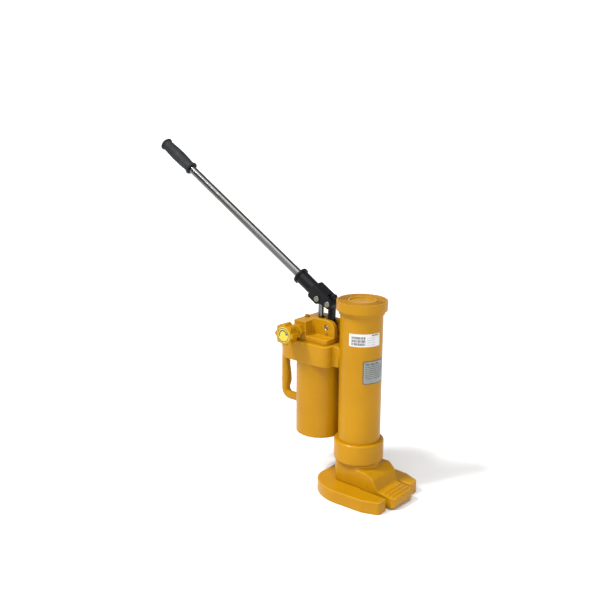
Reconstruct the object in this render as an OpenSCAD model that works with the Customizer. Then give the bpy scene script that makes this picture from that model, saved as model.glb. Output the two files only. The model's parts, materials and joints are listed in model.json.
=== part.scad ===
// Hydraulic toe jack: a ram stands on a slotted base plate, and the cylinder, pump and toe climb it.
// Origin on the floor under the column axis, +X towards the toe, +Z up. Millimetres.

/* [Column] */
// Outside radius of the cylinder tube
column_r = 39.3; // [38.8:0.1:39.6]
// Radius of the cylinder bore
bore_r = 25; // [24.5:0.1:25.4]
// Radius of the ram
ram_r = 20; // [19.5:0.1:20.3]
// Height of the head seat above the floor
head_z = 370; // [368:1:376]
// Radius of the head cap
head_r = 46.8; // [45:0.1:48]
// Radius of the lower collar
collar_r = 46.4; // [45:0.1:46.8]
// Height of the lower collar
collar_h = 38; // [34:1:40]

/* [Base] */
// Thickness of the base plate
base_t = 24.3; // [23.5:0.1:25]
// Radius of the rounded back of the base plate
base_r = 76.7; // [74:0.1:80]
// Distance from the column axis to the front face of the base plate
base_front = 92.9; // [90:0.1:96]
// Half width of the slot that the toe drops into
slot_hw = 38.4; // [38.1:0.1:39.5]

/* [Toe] */
// Half width of the toe block
toe_hw = 37.4; // [36.8:0.1:37.8]
// Radius of the toe neck
neck_r = 43.3; // [42:0.1:44]
// Distance from the column axis to the toe tip
toe_tip = 105.4; // [102:0.1:106]
// Height of the underside of the toe plate
toe_low = 3.4; // [3:0.1:4]
// Half width of the toe plate
plate_hw = 31.5; // [30:0.1:33]

/* [Pump] */
// Distance from the column axis back to the reservoir and plunger axis
pump_back = 94.5; // [94:0.1:95]
// Outside radius of the reservoir tube
tank_r = 45.7; // [44:0.1:46]
// Height of the reservoir bottom
tank_low = 94.8; // [92:0.1:98]
// Radius of the pump plunger
plunger_r = 5.5; // [5:0.1:6]
// Radius of the release knob over its lobes
knob_r = 21.6; // [21:0.1:24]

/* [Lever] */
// Lever elevation at rest, in degrees
lever_angle = 31.2; // [28:0.1:34]
// Distance from the plunger pin to the outer end of the grip
lever_reach = 497; // [450:0.5:520]
// Outside radius of the lever tube
lever_r = 8; // [7.8:0.1:8.2]

/* [Hidden] */

round_fn = 96;
soft_fn = 32;
gap = 0.3;          // clearance between bodies that pass each other
run = 0.05;         // radial clearance of a running fit
eps = 0.5;          // overshoot of a cut
paint = "#d69a12";
dark_paint = "#26262a";
steel = "#9a9ca0";
bronze = "#b08a48";
rubber = "#1c1c1e";
chrome = "#d8dade";

// Base and ram
base_back = 67;
base_side_x = 61;
base_side_hw = 73.4;
base_front_hw = 61.4;
base_back_round = 45;
base_front_round = 6;
slot_x = 34.5;
foot_r = 28;
foot_t = 10;
foot_z = base_t - foot_t;
screw_circle = 13;
screw_r = 4;
screw_head_r = 6.5;
screw_head_h = 6.5;
screw_depth = 16;

// Toe and swivel
neck_low = base_t + gap;
neck_top = 65.4;
washer_t = 1.2;
washer_r = 41;
spigot_r = 28;
nut_r = 33.5;
nut_room_r = 34;
nut_room_z = 38;
toe_root = 68.5;
toe_root_hw = 32.6;
toe_shoulder_x = 47;
toe_root_z = 26.4;
toe_knee_x = 59;
toe_knee_z = 48;
toe_ridge_x = 44.3;
toe_ridge_z = 57.6;
toe_slope = 5.8;
toe_rib_count = 4;
toe_rib_pitch = 8.2;
toe_rib_first = 10.6;
toe_rib_w = 3;
toe_rib_h = 1.4;
toe_rib_hw = 27.5;
toe_corner_x = 97;
toe_tip_hw = 26.5;

// Cylinder
body_low = neck_top + washer_t + gap;
gland_r = 31;
gland_top = body_low + collar_h;
bush_r = 23;
bush_low = 40;
bush_top = 82;
seal_r = 25;
wiper_low = 28;
wiper_top = 34;
rod_seal_low = 86;
rod_seal_top = 94;
lift_stroke = 205;
piston_low = gland_top + lift_stroke + 1.2;
piston_h = 17;
stub_r = 12;
piston_nut_h = 7;
piston_nut_r = 17.3;
ram_top = piston_low + piston_h + piston_nut_h;
cap_t = 17.4;
cap_low = head_z - cap_t;
lip_r = 42.5;
lip_low = 346.2;
plug_r = 29;
plug_low = 337.4;
oring_r = 1.4;
oil_r = 2.5;
oil_offset = 32;
oil_low = 258;
oil_cross_z = 333.4;

// Bracket, reservoir and pump head
pump_x = -pump_back;
bracket_low = 240.5;
bracket_top = 280.5;
bracket_hw = 48;
bracket_tail_x = -128.4;
bracket_right = -43;
bracket_corner = 15;
web_hw = 28;
roof_t = 10.5;
tank_top = bracket_top - roof_t - 6;
tank_wall = 3;
tank_seal_t = 1.5;
slab_top = 290.6;
slab_hw = 37.6;
slab_right = -51;
slab_corner = 8;
block_left = -129;
block_right = -101.5;
block_hw = slab_hw;
block_top = 317.5;
ear_hw = 16.7;
ear_slot_hw = 6.4;
ear_top = 321.2;
ear_right = -49.5;
core_right = -83;
core_top = 319;
lug_x = -69;
lug_z = 307.8;
lug_r = 5;
barrel_r = 9.5;
barrel_low = 262;
barrel_top = 316;
valve_x = -116.5;
valve_z = 299;
relief_z = 310.5;
filler_x = -123.4;
filler_y = -6;

// Carrying handle: a round bar with a palm swell on its inner side
handle_x = -181.3;
handle_r = 8.4;
handle_arm_z = 146.8;
handle_bend = 13;
swell_r = 10;
swell_low = 162;
swell_peak = 178;
swell_top = 214;
swell_end_r = 6;
handle_top_z = 262;

// Lever and link
pin_r = 4.5;
pin1_z = 358;
pin2_x = -69;
pin2_z = 351.4;
cheek_hw = 13.2;
cheek_slot_hw = 6.3;
link_hw = 5.6;
bar_axis = 2.6;     // height of the bar axis above the plunger pin, square to the bar
block_back = 21.6;
block_high = 18;
block_deep = 11.3;
socket_r = 13.2;
socket_len = 63;
flange_r = 16.2;
flange_w = 5;
bar_start = 14.3;
bar_wall = 1.8;
grip_len = 90;
grip_r = 10.7;
grip_end_r = 13.4;
grip_swell = 1.9;
grip_end_w = 3.6;

// Release valve
knob_face = -82.4;
knob_t = 20;
knob_lobes = 8;
knob_core_r = 18;
lobe_r = 4.8;
disc_r = 15.3;
hub_r = 11;
hub_len = 4;
gland_face = -54;
spindle_r = 4;

// Labels on the cylinder
label_t = 0.5;
label_turn = -43;
label_span = 88;
label_low = 293;
label_h = 23.5;
plate_turn = -13;
plate_span = 70;
plate_low = 222.5;
plate_h = 44;

// A flat ring standing on z
module ring(outer, inner, z, h) {
    translate([0, 0, z]) difference() {
        cylinder(r = outer, h = h, $fn = round_fn);
        translate([0, 0, -eps]) cylinder(r = inner, h = h + 2 * eps, $fn = round_fn);
    }
}

// A round bar from z upwards
module rod(r, z, h) {
    translate([0, 0, z]) cylinder(r = r, h = h, $fn = round_fn);
}

// A round bar along Y between two y values, at x and z
module cross_rod(r, x, z, y0, y1) {
    translate([x, y1, z]) rotate([90, 0, 0]) cylinder(r = r, h = y1 - y0, $fn = round_fn);
}

// A flat shape in the XZ plane, carried from y0 to y1
module side_plate(y0, y1) {
    translate([0, y1, 0]) rotate([90, 0, 0]) linear_extrude(height = y1 - y0) children();
}

// A torus with its centre at z
module o_ring(ring_r, wire_r, z) {
    translate([0, 0, z]) rotate_extrude($fn = round_fn)
        translate([ring_r, 0]) circle(r = wire_r, $fn = soft_fn);
}

// A coil spring as a stack of plain rings along Y
module ring_spring(x, z, y0, y1, r, wire_r, turns) {
    step = (y1 - y0) / (turns - 1);
    for (i = [0 : turns - 1])
        translate([x, y0 + i * step, z]) rotate([90, 0, 0]) rotate_extrude($fn = round_fn)
            translate([r, 0]) circle(r = wire_r, $fn = soft_fn);
}

// Points along an arc round [x, y]
function arc(x, y, r, from, to, steps = 10) = [
    for (i = [0 : steps]) let (a = from + (to - from) * i / steps) [x + r * cos(a), y + r * sin(a)]
];

// Points that round off the corner p between its neighbours
function corner(before, p, after, r) =
    let (
        u = (before - p) / norm(before - p),
        v = (after - p) / norm(after - p),
        half = acos(u * v) / 2,
        centre = p + (u + v) / norm(u + v) * r / sin(half),
        first = p + u * r / tan(half) - centre,
        last = p + v * r / tan(half) - centre,
        from = atan2(first[1], first[0]),
        turn = (atan2(last[1], last[0]) - from + 540) % 360 - 180
    )
    arc(centre[0], centre[1], r, from, from + turn, 6);

// An outline given as [x, y, corner radius] points, with its corners rounded
function soften(points) =
    let (n = len(points))
    [for (i = [0 : n - 1])
        let (p = points[i], a = points[(i + n - 1) % n], b = points[(i + 1) % n])
        each p[2] == 0 ? [[p[0], p[1]]] : corner([a[0], a[1]], [p[0], p[1]], [b[0], b[1]], p[2])];

// The four base screw places
module at_base_screws() {
    for (turn = [45 : 90 : 315])
        rotate([0, 0, turn]) translate([screw_circle, 0, 0]) children();
}

// Half of the base outline, from the slot round the side to the back
function base_half() =
    let (
        inner = base_r - base_back_round,
        x = base_back_round - base_back,
        y = sqrt(inner * inner - x * x),
        meet = atan2(y, x)
    )
    concat(
        [[slot_x, slot_hw], [base_front, slot_hw]],
        corner([base_front, slot_hw], [base_front, base_front_hw], [base_side_x, base_side_hw],
            base_front_round),
        [[base_side_x, base_side_hw]],
        arc(0, 0, base_r, 90, meet),
        arc(x, y, base_back_round, meet, 180)
    );

module base_outline() {
    half = base_half();
    n = len(half);
    polygon(concat(half, [for (i = [1 : n]) [half[n - i][0], -half[n - i][1]]]));
}

module base_plate() {
    color(paint) difference() {
        linear_extrude(height = base_t) base_outline();
        rod(foot_r + 0.1, foot_z, foot_t + eps);
        at_base_screws() {
            rod(screw_head_r + 0.5, -eps, screw_head_h + 0.5 + eps);
            rod(screw_r + 0.1, 0, base_t);
        }
    }
}

module base_screws() {
    color(steel) at_base_screws() difference() {
        union() {
            rod(screw_head_r, 0.5, screw_head_h);
            rod(screw_r, screw_head_h, foot_z + screw_depth - screw_head_h);
        }
        translate([0, 0, -eps]) cylinder(r = 3.4, h = 4, $fn = 6);
    }
}

module ram_rod() {
    color(chrome) difference() {
        union() {
            rod(foot_r, foot_z, foot_t - 0.2);
            rod(ram_r, foot_z, piston_low - foot_z);
            rod(stub_r, foot_z, ram_top - foot_z);
        }
        at_base_screws() rod(screw_r, foot_z - eps, screw_depth + 1 + eps);
    }
}

module ram_piston() {
    color(steel) difference() {
        ring(bore_r - run, stub_r, piston_low, piston_h);
        ring(bore_r + 1, bore_r - 4.5, piston_low + 4, 5);
        ring(bore_r + 1, bore_r - 3, piston_low + 12, 3);
    }
}

module piston_seal() {
    color(rubber) difference() {
        ring(bore_r - run, bore_r - 4.5, piston_low + 4, 5);
        ring(bore_r - 1.8, bore_r - 2.8, piston_low + 6, 4);
    }
}

module piston_guide_ring() {
    color(bronze) ring(bore_r - run, bore_r - 3, piston_low + 12, 3);
}

module piston_nut() {
    color(steel) difference() {
        translate([0, 0, piston_low + piston_h]) cylinder(r = piston_nut_r, h = piston_nut_h, $fn = 6);
        rod(stub_r, piston_low, ram_top);
    }
}

module toe_plan() {
    polygon(soften([
        [slot_x + gap, -toe_hw, 0], [toe_shoulder_x, -toe_hw, 20], [toe_root, -toe_root_hw, 3],
        [toe_root, toe_root_hw, 3], [toe_shoulder_x, toe_hw, 20], [slot_x + gap, toe_hw, 0]
    ]));
    polygon(soften([
        [slot_x + 1, -plate_hw, 0], [toe_corner_x, -plate_hw, 4], [toe_tip, -toe_tip_hw, 4],
        [toe_tip, toe_tip_hw, 4], [toe_corner_x, plate_hw, 4], [slot_x + 1, plate_hw, 0]
    ]));
}

// Side outline of the toe, from the neck to the tip
module toe_profile() {
    drop = (toe_tip - toe_root) * tan(toe_slope);
    polygon(soften([
        [slot_x + gap, toe_low, 0], [toe_tip - 4, toe_low, 3], [toe_tip, toe_low + 4, 3],
        [toe_tip, toe_root_z - drop, 2], [toe_root, toe_root_z, 8], [toe_knee_x, toe_knee_z, 14],
        [toe_ridge_x, toe_ridge_z, 4], [slot_x + gap, toe_ridge_z, 0]
    ]));
}

module toe_ribs() {
    translate([toe_root, 0, toe_root_z]) rotate([0, toe_slope, 0])
        for (i = [0 : toe_rib_count - 1])
            translate([toe_rib_first + i * toe_rib_pitch, 0, 0]) side_plate(-toe_rib_hw, toe_rib_hw)
                polygon([
                    [-toe_rib_w / 2 - 1, -0.4], [toe_rib_w / 2 + 1, -0.4],
                    [toe_rib_w / 2, toe_rib_h], [-toe_rib_w / 2, toe_rib_h]
                ]);
}

module toe_casting() {
    color(paint) difference() {
        union() {
            intersection() {
                rod(neck_r, neck_low, neck_top - neck_low);
                translate([-60, -toe_hw, 0]) cube([120, 2 * toe_hw, 80]);
            }
            translate([0, -toe_hw, neck_low]) cube([slot_x + 2, 2 * toe_hw, toe_ridge_z - neck_low]);
            intersection() {
                side_plate(-60, 60) toe_profile();
                linear_extrude(height = 80) toe_plan();
            }
            toe_ribs();
        }
        rod(spigot_r + run, 0, neck_top + 1);
        rod(nut_room_r, 0, nut_room_z);
    }
}

module swivel_washer() {
    color(bronze) ring(washer_r, spigot_r + 0.4, neck_top, washer_t);
}

module cylinder_tube() {
    color(paint) difference() {
        rod(column_r, body_low, cap_low - body_low);
        rod(bore_r, 0, head_z);
        rod(gland_r, 0, gland_top);
        rod(plug_r, plug_low, head_z);
        translate([-oil_offset, 0, oil_low]) cylinder(r = oil_r, h = oil_cross_z - oil_low, $fn = soft_fn);
        translate([-oil_offset - oil_r, 0, oil_cross_z]) rotate([0, 90, 0])
            cylinder(r = oil_r, h = oil_offset - bore_r + 2 * oil_r, $fn = soft_fn);
    }
}

module lower_collar() {
    color(paint) rotate_extrude($fn = round_fn) polygon([
        [column_r, body_low], [collar_r - 0.8, body_low], [collar_r, body_low + 0.8],
        [collar_r, gland_top - 2], [collar_r - 1.6, gland_top], [column_r, gland_top]
    ]);
}

module head_cap() {
    groove_r = [28.2, 32.6, 37, 41.4];
    color(paint) difference() {
        rotate_extrude($fn = round_fn) polygon([
            [0, plug_low], [plug_r, plug_low], [plug_r, cap_low], [column_r, cap_low],
            [column_r, lip_low], [lip_r, lip_low], [lip_r, cap_low], [head_r - 0.8, cap_low],
            [head_r, cap_low + 0.8], [head_r, head_z - 1.6], [head_r - 1.6, head_z], [0, head_z]
        ]);
        for (r = groove_r) ring(r + 0.9, r - 0.9, head_z - 1.2, 2);
        rod(22.6, head_z - 2.4, 3);
        rod(2.6, head_z - 4.4, 5);
        ring(plug_r + 1, plug_r - 2.9, plug_low + 3, 3.2);
    }
}

module head_seal() {
    color(rubber) o_ring(plug_r - oring_r - 0.05, oring_r, plug_low + 4.6);
}

module bottom_gland() {
    color(steel) rotate_extrude($fn = round_fn) polygon([
        [seal_r, wiper_low - 0.5], [spigot_r, wiper_low - 0.5], [spigot_r, body_low], [gland_r, body_low],
        [gland_r, gland_top - 0.2], [seal_r, gland_top - 0.2], [seal_r, rod_seal_low],
        [ram_r + 0.5, rod_seal_low], [ram_r + 0.5, bush_top], [bush_r, bush_top], [bush_r, bush_low],
        [ram_r + 0.5, bush_low], [ram_r + 0.5, wiper_top], [seal_r, wiper_top]
    ]);
}

module rod_guide_bush() {
    color(bronze) ring(bush_r, ram_r + run, bush_low, bush_top - bush_low);
}

module rod_wiper() {
    color(rubber) ring(seal_r, ram_r + run, wiper_low, wiper_top - wiper_low);
}

module rod_seal() {
    color(rubber) ring(seal_r, ram_r + run, rod_seal_low, rod_seal_top - rod_seal_low);
}

module stop_ring() {
    color(steel) ring(seal_r, ram_r + 0.5, rod_seal_top, gland_top - rod_seal_top);
}

module swivel_nut() {
    color(steel) difference() {
        ring(nut_r, spigot_r, wiper_low, nut_room_z - gap - wiper_low);
        for (turn = [0, 90])
            rotate([0, 0, turn]) translate([-nut_r - 1, -2.5, wiper_low - eps])
                cube([2 * nut_r + 2, 5, 3 + eps]);
    }
}

// Plan of the bracket: a long block with a round end at the handle and small corners at the web
module bracket_outline() {
    corner_x = bracket_right - bracket_corner;
    corner_y = bracket_hw - bracket_corner;
    translate([bracket_tail_x, 0]) circle(r = bracket_hw, $fn = round_fn);
    translate([bracket_tail_x, -bracket_hw]) square([corner_x - bracket_tail_x, 2 * bracket_hw]);
    translate([bracket_tail_x, -corner_y]) square([bracket_right - bracket_tail_x, 2 * corner_y]);
    for (side = [-1, 1]) translate([corner_x, side * corner_y]) circle(r = bracket_corner, $fn = round_fn);
}

module pump_bracket() {
    color(paint) difference() {
        translate([0, 0, bracket_low]) linear_extrude(height = bracket_top - bracket_low) union() {
            bracket_outline();
            translate([pump_x, -web_hw]) square([pump_back - bore_r, 2 * web_hw]);
        }
        rod(column_r, 0, head_z);
        translate([pump_x, 0, 0]) {
            rod(tank_r, 0, tank_top);
            rod(tank_r - tank_wall - 1, 0, bracket_top - roof_t);
            rod(barrel_r, 0, head_z);
            for (side = [-1, 1]) translate([12, side * 26, 0]) rod(3.1, 0, head_z);
            for (side = [-1, 1]) translate([-18, side * 26, 0]) rod(3.1, 0, head_z);
        }
    }
}

// The valve block, the slab it stands on and the two ears
module head_body() {
    ear_round = 16;
    translate([0, 0, bracket_top]) linear_extrude(height = slab_top - bracket_top) union() {
        translate([block_left, -slab_hw]) square([slab_right - slab_corner - block_left, 2 * slab_hw]);
        translate([block_left, slab_corner - slab_hw])
            square([slab_right - block_left, 2 * (slab_hw - slab_corner)]);
        for (side = [-1, 1]) translate([slab_right - slab_corner, side * (slab_hw - slab_corner)])
            circle(r = slab_corner, $fn = round_fn);
    }
    translate([block_left, -block_hw, bracket_top])
        cube([block_right - block_left, 2 * block_hw, block_top - bracket_top]);
    side_plate(-ear_hw, ear_hw) union() {
        translate([block_right - 1, slab_top - 1])
            square([ear_right - block_right + 1, ear_top - ear_round - slab_top + 1]);
        translate([block_right - 1, slab_top])
            square([ear_right - ear_round - block_right + 1, ear_top - slab_top]);
        translate([ear_right - ear_round, ear_top - ear_round]) circle(r = ear_round, $fn = round_fn);
    }
}

module pump_head() {
    color(paint) difference() {
        head_body();
        translate([core_right, -ear_slot_hw, slab_top]) cube([60, 2 * ear_slot_hw, 60]);
        translate([block_right - 30, -ear_slot_hw, core_top]) cube([80, 2 * ear_slot_hw, 60]);
        cross_rod(lug_r, lug_x, lug_z, -ear_hw - 1, ear_hw + 1);
        cross_rod(1.6, lug_x + 2, slab_top + 4.4, -ear_hw - 1, -ear_hw + 3);
        translate([pump_x, 0, 0]) {
            rod(barrel_r, 0, barrel_top);
            rod(plunger_r + 0.5, 0, head_z);
            for (side = [-1, 1]) translate([12, side * 26, 0]) rod(2.9, 0, slab_top - 2);
            for (side = [-1, 1]) translate([-18, side * 26, 0]) rod(2.9, 0, bracket_top + 14);
        }
        cross_rod(5.5, valve_x, valve_z, -block_hw - 1, -22);
        cross_rod(spindle_r + run, valve_x, valve_z, -23, -6);
        cross_rod(2, valve_x, valve_z, -7, 9);
        cross_rod(5, valve_x, valve_z, 8, block_hw + 1);
        cross_rod(4, valve_x, relief_z, 8, block_hw + 1);
        translate([valve_x, 0, valve_z]) rotate([0, 90, 0]) cylinder(r = 2, h = 14, $fn = soft_fn);
        translate([valve_x, 4, valve_z]) cylinder(r = 1.6, h = relief_z - valve_z, $fn = soft_fn);
        cross_rod(1.6, valve_x, relief_z, 4, 10);
        translate([filler_x, filler_y, block_top - 9]) rod(3.6, 0, 10);
    }
}

module pump_head_screws() {
    color(steel) translate([pump_x, 0, 0]) {
        for (side = [-1, 1]) translate([12, side * 26, 0]) under_screw(slab_top - 3);
        for (side = [-1, 1]) translate([-18, side * 26, 0]) under_screw(bracket_top + 12);
    }
}

// A screw put in from below the bracket roof, with its tip at z
module under_screw(tip) {
    roof_low = bracket_top - roof_t;
    difference() {
        union() {
            rod(4.9, roof_low - 6, 6);
            rod(2.9, roof_low - 1, tip - roof_low + 1);
        }
        translate([0, 0, roof_low - 7]) cylinder(r = 2.9, h = 4, $fn = 6);
    }
}

module reservoir_tube() {
    color(paint) translate([pump_x, 0, 0])
        ring(tank_r, tank_r - tank_wall, tank_low + 4, tank_top - tank_seal_t - tank_low - 4);
}

module reservoir_bottom() {
    color(paint) translate([pump_x, 0, 0]) rotate_extrude($fn = round_fn) polygon([
        [0, tank_low], [tank_r - 1.5, tank_low], [tank_r, tank_low + 1.5], [tank_r, tank_low + 4],
        [tank_r - tank_wall, tank_low + 4], [tank_r - tank_wall, tank_low + 8], [0, tank_low + 8]
    ]);
}

module reservoir_seal() {
    color(rubber) translate([pump_x, 0, 0])
        ring(tank_r - 0.1, tank_r - tank_wall, tank_top - tank_seal_t, tank_seal_t);
}

// The palm swell, set inwards so that the outer side of the bar stays straight
module palm_swell() {
    rise = swell_r - swell_end_r;
    below = swell_peak - swell_low;
    above = swell_top - swell_peak;
    translate([handle_x + swell_r - handle_r, 0, 0]) rotate_extrude($fn = round_fn) polygon(concat(
        [[0, swell_low]],
        [for (a = [0 : 15 : 90]) [swell_end_r + rise * sin(a), swell_low + below * a / 90]],
        [for (a = [15 : 15 : 90]) [swell_end_r + rise * cos(a), swell_peak + above * a / 90]],
        [[0, swell_top]]
    ));
}

module carry_handle() {
    elbow_x = handle_x + handle_bend;
    elbow_z = handle_arm_z + handle_bend;
    color(paint) difference() {
        union() {
            translate([handle_x, 0, 0]) rod(handle_r, elbow_z, handle_top_z - handle_bend - elbow_z);
            translate([elbow_x, 0, elbow_z]) rotate([90, 0, 0]) rotate([0, 0, 180])
                rotate_extrude(angle = 90, $fn = round_fn) translate([handle_bend, 0])
                    circle(r = handle_r, $fn = round_fn);
            translate([elbow_x, 0, handle_arm_z]) rotate([0, 90, 0])
                cylinder(r = handle_r, h = pump_x - 40 - elbow_x, $fn = round_fn);
            palm_swell();
            translate([elbow_x, 0, handle_top_z - handle_bend]) rotate([90, 0, 0]) rotate([0, 0, 90])
                rotate_extrude(angle = 90, $fn = round_fn) translate([handle_bend, 0])
                    circle(r = handle_r, $fn = round_fn);
        }
        translate([pump_x, 0, 0]) rod(tank_r, 0, head_z);
        translate([0, 0, bracket_low]) linear_extrude(height = bracket_top - bracket_low) bracket_outline();
    }
}

module filler_plug() {
    color(paint) translate([filler_x, filler_y, 0]) difference() {
        union() {
            translate([0, 0, block_top + 0.8]) cylinder(r = 4.6, h = 3, $fn = 6);
            rod(3.5, block_top - 8, 9.5);
        }
        translate([0, 0, block_top + 2]) cylinder(r = 2, h = 3, $fn = 6);
    }
}

module filler_washer() {
    color(steel) translate([filler_x, filler_y, 0]) ring(5.2, 3.6, block_top, 0.8);
}

module pump_barrel() {
    color(steel) translate([pump_x, 0, 0]) difference() {
        rod(barrel_r, barrel_low, barrel_top - barrel_low);
        rod(plunger_r + run, barrel_low + 12, barrel_top);
        rod(4.4, barrel_low + 4, 9);
        rod(2, 0, barrel_low + 5);
        rod(7.6, barrel_top - 7, 8);
        translate([0, 0, valve_z - 6]) rotate([0, -90, 0]) cylinder(r = 1.8, h = 20, $fn = soft_fn);
    }
}

module plunger_seal() {
    color(rubber) translate([pump_x, 0, 0]) ring(7.5, plunger_r + run, barrel_top - 7, 6.9);
}

module suction_tube() {
    color(steel) translate([pump_x, 0, 0]) {
        ring(4.5, 3, 122, barrel_low - 122);
        ring(8, 3, barrel_low - 9, 9);
    }
}

module suction_strainer() {
    color(bronze) translate([pump_x, 0, 0]) difference() {
        rod(10, 106, 22);
        rod(8.6, 108, 18.5);
        rod(4.5, 120, 20);
        for (turn = [0 : 45 : 315]) for (i = [0 : 3])
            translate([0, 0, 110.5 + i * 4]) rotate([0, 90, turn]) translate([0, 0, 8])
                cylinder(r = 1.2, h = 3, $fn = soft_fn);
    }
}

module ball(x, y, z, r) {
    translate([x, y, z]) sphere(r = r, $fn = soft_fn);
}

module inlet_ball() {
    color(steel) ball(pump_x, 0, barrel_low + 6.9, 3.4);
}

module outlet_ball() {
    color(steel) ball(valve_x, 11.5, valve_z, 3.6);
}

module outlet_spring() {
    color(steel) ring_spring(valve_x, valve_z, 16, 27, 3.2, 0.6, 5);
}

module relief_ball() {
    color(steel) ball(valve_x, 11, relief_z, 2.6);
}

module relief_spring() {
    color(steel) ring_spring(valve_x, relief_z, 14.5, 25.5, 2.6, 0.5, 6);
}

// A screwed plug in the far face of the valve block, with a hexagon socket
module valve_plug(r, z, y0, head_r, head_h) {
    difference() {
        union() {
            cross_rod(r, valve_x, z, y0, block_hw + 0.5);
            cross_rod(head_r, valve_x, z, block_hw, block_hw + head_h);
        }
        translate([valve_x, block_hw + head_h + eps, z]) rotate([90, 0, 0])
            cylinder(r = r * 0.6, h = 4, $fn = 6);
    }
}

module outlet_plug() {
    color(steel) valve_plug(5, valve_z, 28, 5.6, 3);
}

module relief_screw() {
    color(steel) valve_plug(4, relief_z, 26.5, 4.4, 2);
}

module release_gland() {
    color(paint) difference() {
        union() {
            cross_rod(5.5, valve_x, valve_z, -block_hw, -24);
            translate([valve_x, -block_hw, valve_z]) rotate([90, 0, 0]) cylinder(r = 13.4, h = 9, $fn = 6);
            cross_rod(10.4, valve_x, valve_z, gland_face, -block_hw);
        }
        cross_rod(spindle_r + run, valve_x, valve_z, -90, 0);
    }
}

// A label wrapped on the cylinder, centred at turn degrees
module wrapped(turn, span, z, h) {
    intersection() {
        ring(column_r + label_t, column_r, z, h);
        rotate([0, 0, turn - span / 2]) translate([0, 0, z]) rotate_extrude(angle = span, $fn = round_fn)
            translate([column_r - 5, 0]) square([12, h]);
    }
}

module data_plate() {
    color("#9aa3a4") wrapped(plate_turn, plate_span, plate_low, plate_h);
}

module blank_label() {
    color("#f2f2f0") wrapped(label_turn, label_span, label_low, label_h);
}

module lug_pin() {
    color(steel) cross_rod(lug_r, lug_x, lug_z, -ear_hw + 0.6, ear_hw - 0.6);
}

module lug_set_screw() {
    color(steel) cross_rod(1.6, lug_x + 2, slab_top + 4.4, -ear_hw - 0.5, -ear_hw + 3);
}

module plunger_rod() {
    eye_r = 8;
    eye_hw = 5;
    color(chrome) difference() {
        union() {
            translate([pump_x, 0, 0]) rod(plunger_r, 292, pin1_z - eye_r + 2 - 292);
            cross_rod(eye_r, pump_x, pin1_z, -eye_hw, eye_hw);
        }
        cross_rod(pin_r + run, pump_x, pin1_z, -20, 20);
    }
}

// Places a piece drawn with the plunger pin at the origin and the bar along -X
module on_lever() {
    translate([pump_x, 0, pin1_z]) rotate([0, lever_angle, 0]) children();
}

// A round bar along the lever axis, between two distances from the plunger pin
module bar(r, near, far) {
    translate([-near, 0, bar_axis]) rotate([0, -90, 0]) cylinder(r = r, h = far - near, $fn = round_fn);
}

pin2_dx = pin2_x - pump_x;
pin2_dz = pin2_z - pin1_z;
pin2_lx = pin2_dx * cos(lever_angle) - pin2_dz * sin(lever_angle);
pin2_lz = pin2_dx * sin(lever_angle) + pin2_dz * cos(lever_angle);
fork_r = 9.4;
slot_near = -9.6;
fork_bridge_low = 8.8;     // the top of the fork is closed over the plunger eye
fork_bridge_end = 12.2;

module fork_outline() {
    polygon([
        [-block_back, block_high], [-block_back, -block_deep + 3], [-block_back + 3, -block_deep],
        [2.5, -block_deep], [11, -4], [pin2_lx, pin2_lz - fork_r],
        [pin2_lx + fork_r, pin2_lz], [pin2_lx + 2, pin2_lz + fork_r - 0.6], [14.4, block_high]
    ]);
    translate([pin2_lx, pin2_lz]) circle(r = fork_r, $fn = round_fn);
}

module lever_socket() {
    color(dark_paint) on_lever() difference() {
        union() {
            side_plate(-cheek_hw, cheek_hw) fork_outline();
            bar(socket_r, block_back - 2, socket_len);
            bar(flange_r, socket_len - flange_w, socket_len);
        }
        translate([slot_near, -cheek_slot_hw, -40]) cube([80, 2 * cheek_slot_hw, 40 + fork_bridge_low]);
        translate([fork_bridge_end, -cheek_slot_hw, -40]) cube([60, 2 * cheek_slot_hw, 80]);
        bar(lever_r + run, bar_start - 0.1, socket_len + 10);
        cross_rod(pin_r, 0, 0, -20, 20);
        cross_rod(pin_r, pin2_lx, pin2_lz, -20, 20);
    }
}

module headed_pin(x, z) {
    cross_rod(pin_r, x, z, -cheek_hw - 1, cheek_hw + 2.6);
    cross_rod(5.6, x, z, -cheek_hw - 2.8, -cheek_hw);
}

module plunger_pin() {
    color(steel) headed_pin(pump_x, pin1_z);
}

module link_pin() {
    color(steel) headed_pin(pin2_x, pin2_z);
}

module pin_clips() {
    color(steel) for (place = [[pump_x, pin1_z], [pin2_x, pin2_z]])
        translate([place[0], cheek_hw + 1, place[1]]) rotate([90, 0, 0]) difference() {
            cylinder(r = 7, h = 1, $fn = round_fn);
            translate([0, 0, -eps]) cylinder(r = pin_r, h = 2, $fn = round_fn);
            translate([-2.5, -8, -eps]) cube([5, 6, 2]);
        }
}

module link_arm() {
    eye_r = 10.4;
    lug_room = 2;       // the lower eye floats round its pin by this much
    color(dark_paint) difference() {
        union() {
            side_plate(-link_hw, link_hw) polygon([
                [pin2_x - 4.8, lug_z], [pin2_x + 4.8, lug_z], [pin2_x + 6, pin2_z + 8],
                [pin2_x + 6, pin2_z + 13], [pin2_x - 1, pin2_z + 13], [pin2_x - 5.5, pin2_z + 5]
            ]);
            cross_rod(eye_r, lug_x, lug_z, -link_hw, link_hw);
            cross_rod(8.4, pin2_x, pin2_z, -link_hw, link_hw);
            cross_rod(5, pin2_x + 4, pin2_z + 12, -link_hw, link_hw);
        }
        cross_rod(pin_r + run, pin2_x, pin2_z, -20, 20);
        cross_rod(lug_r + lug_room, lug_x, lug_z, -20, 20);
    }
}

module lever_tube() {
    color(chrome) on_lever() difference() {
        bar(lever_r, bar_start, lever_reach - 4);
        bar(lever_r - bar_wall, bar_start - 1, lever_reach);
    }
}

module lever_plug() {
    color(rubber) on_lever() bar(lever_r - bar_wall, bar_start, bar_start + 10);
}

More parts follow.
